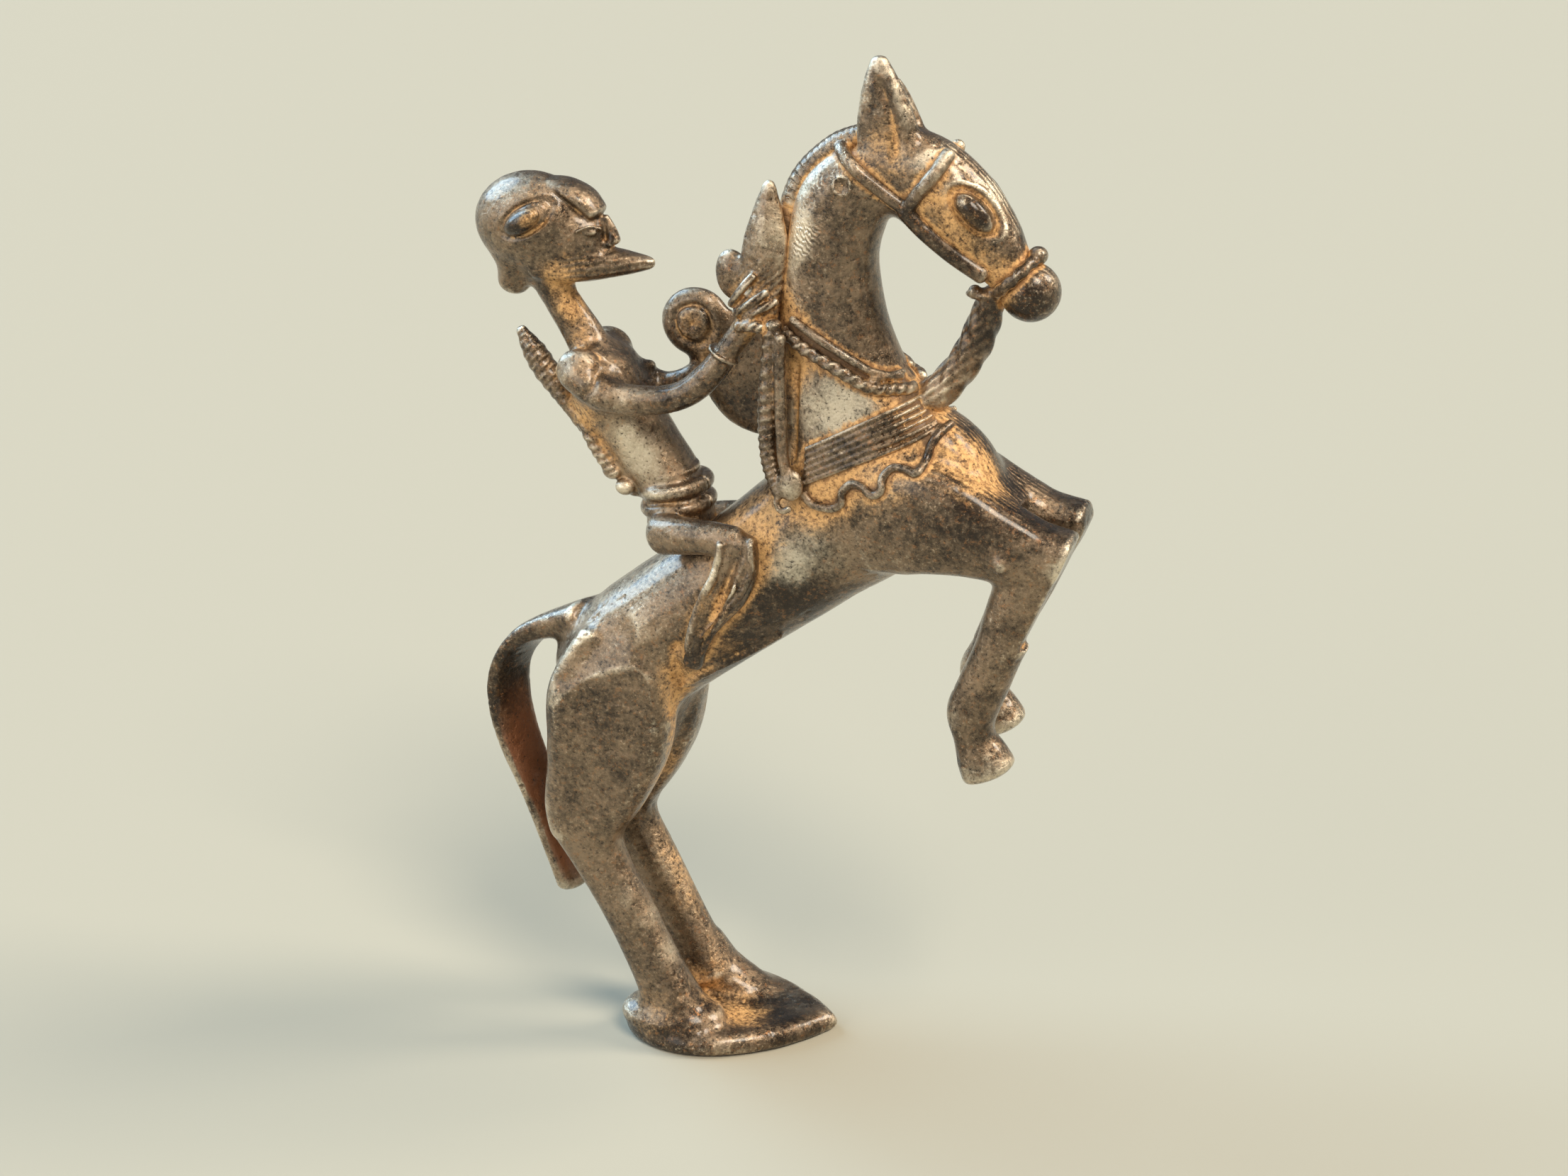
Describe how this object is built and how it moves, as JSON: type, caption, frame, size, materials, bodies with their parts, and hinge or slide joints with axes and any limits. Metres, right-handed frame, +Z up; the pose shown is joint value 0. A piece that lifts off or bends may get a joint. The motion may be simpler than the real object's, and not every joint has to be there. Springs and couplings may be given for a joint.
{
  "type": "horse rider statue",
  "caption": "Small cast-metal figure of a mounted rider with shield and blade on a rearing, harnessed horse, standing on a thin teardrop plinth.",
  "frame": {"origin": "on the flat underside of the plinth, below the hind feet", "axes": "+X the way the horse faces, +Z up, -Y the horse's near side"},
  "size_m": [0.0824, 0.0232, 0.1401],
  "materials": {
    "cast_metal": "dark brown-black patina worn brighter on the high places, with ochre earth in the hollows"
  },
  "bodies": {
    "root": {"horse_and_rider": "cast_metal"}
  },
  "joints": []
}
